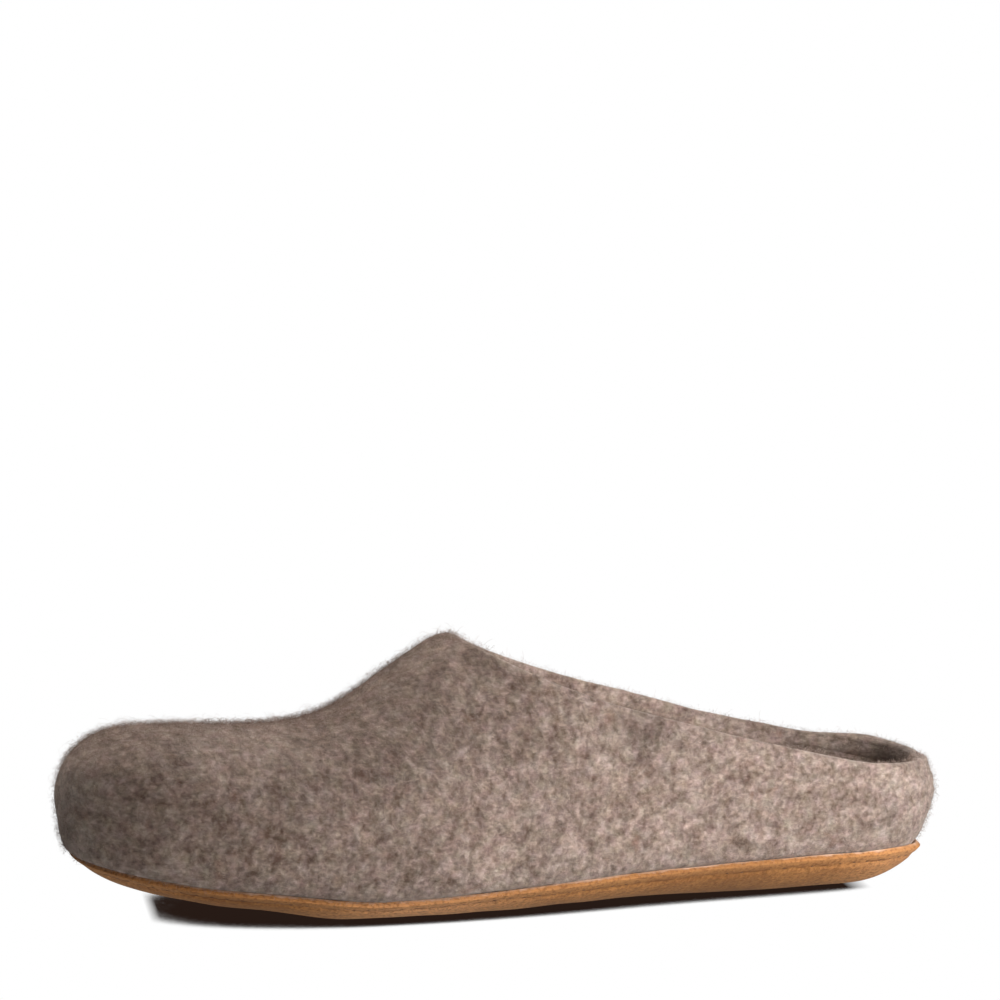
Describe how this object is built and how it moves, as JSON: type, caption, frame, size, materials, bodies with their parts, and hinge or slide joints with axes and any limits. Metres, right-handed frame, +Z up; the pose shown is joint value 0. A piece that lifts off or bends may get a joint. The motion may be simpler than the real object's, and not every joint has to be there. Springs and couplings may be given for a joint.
{
  "type": "felt slipper",
  "caption": "Open-backed felted wool slipper for the left foot, moulded whole with a raised instep, on a cupped leather outsole, with a loose felt footbed inside.",
  "frame": {"origin": "on the floor, under the middle of the shoe's box", "axes": "+X from toe to heel, +Y to the inner side of the foot, +Z up from the floor"},
  "size_m": [0.278, 0.1032, 0.0828],
  "materials": {
    "felt": "thick felted wool, heathered grey-brown, matt with a short nap",
    "leather": "tan suede leather, matt, raw cut edge",
    "insole_felt": "plain pressed wool felt, grey-brown, matt"
  },
  "bodies": {
    "root": {"felt_upper": "felt", "leather_outsole": "leather", "felt_insole": "insole_felt"}
  },
  "joints": []
}
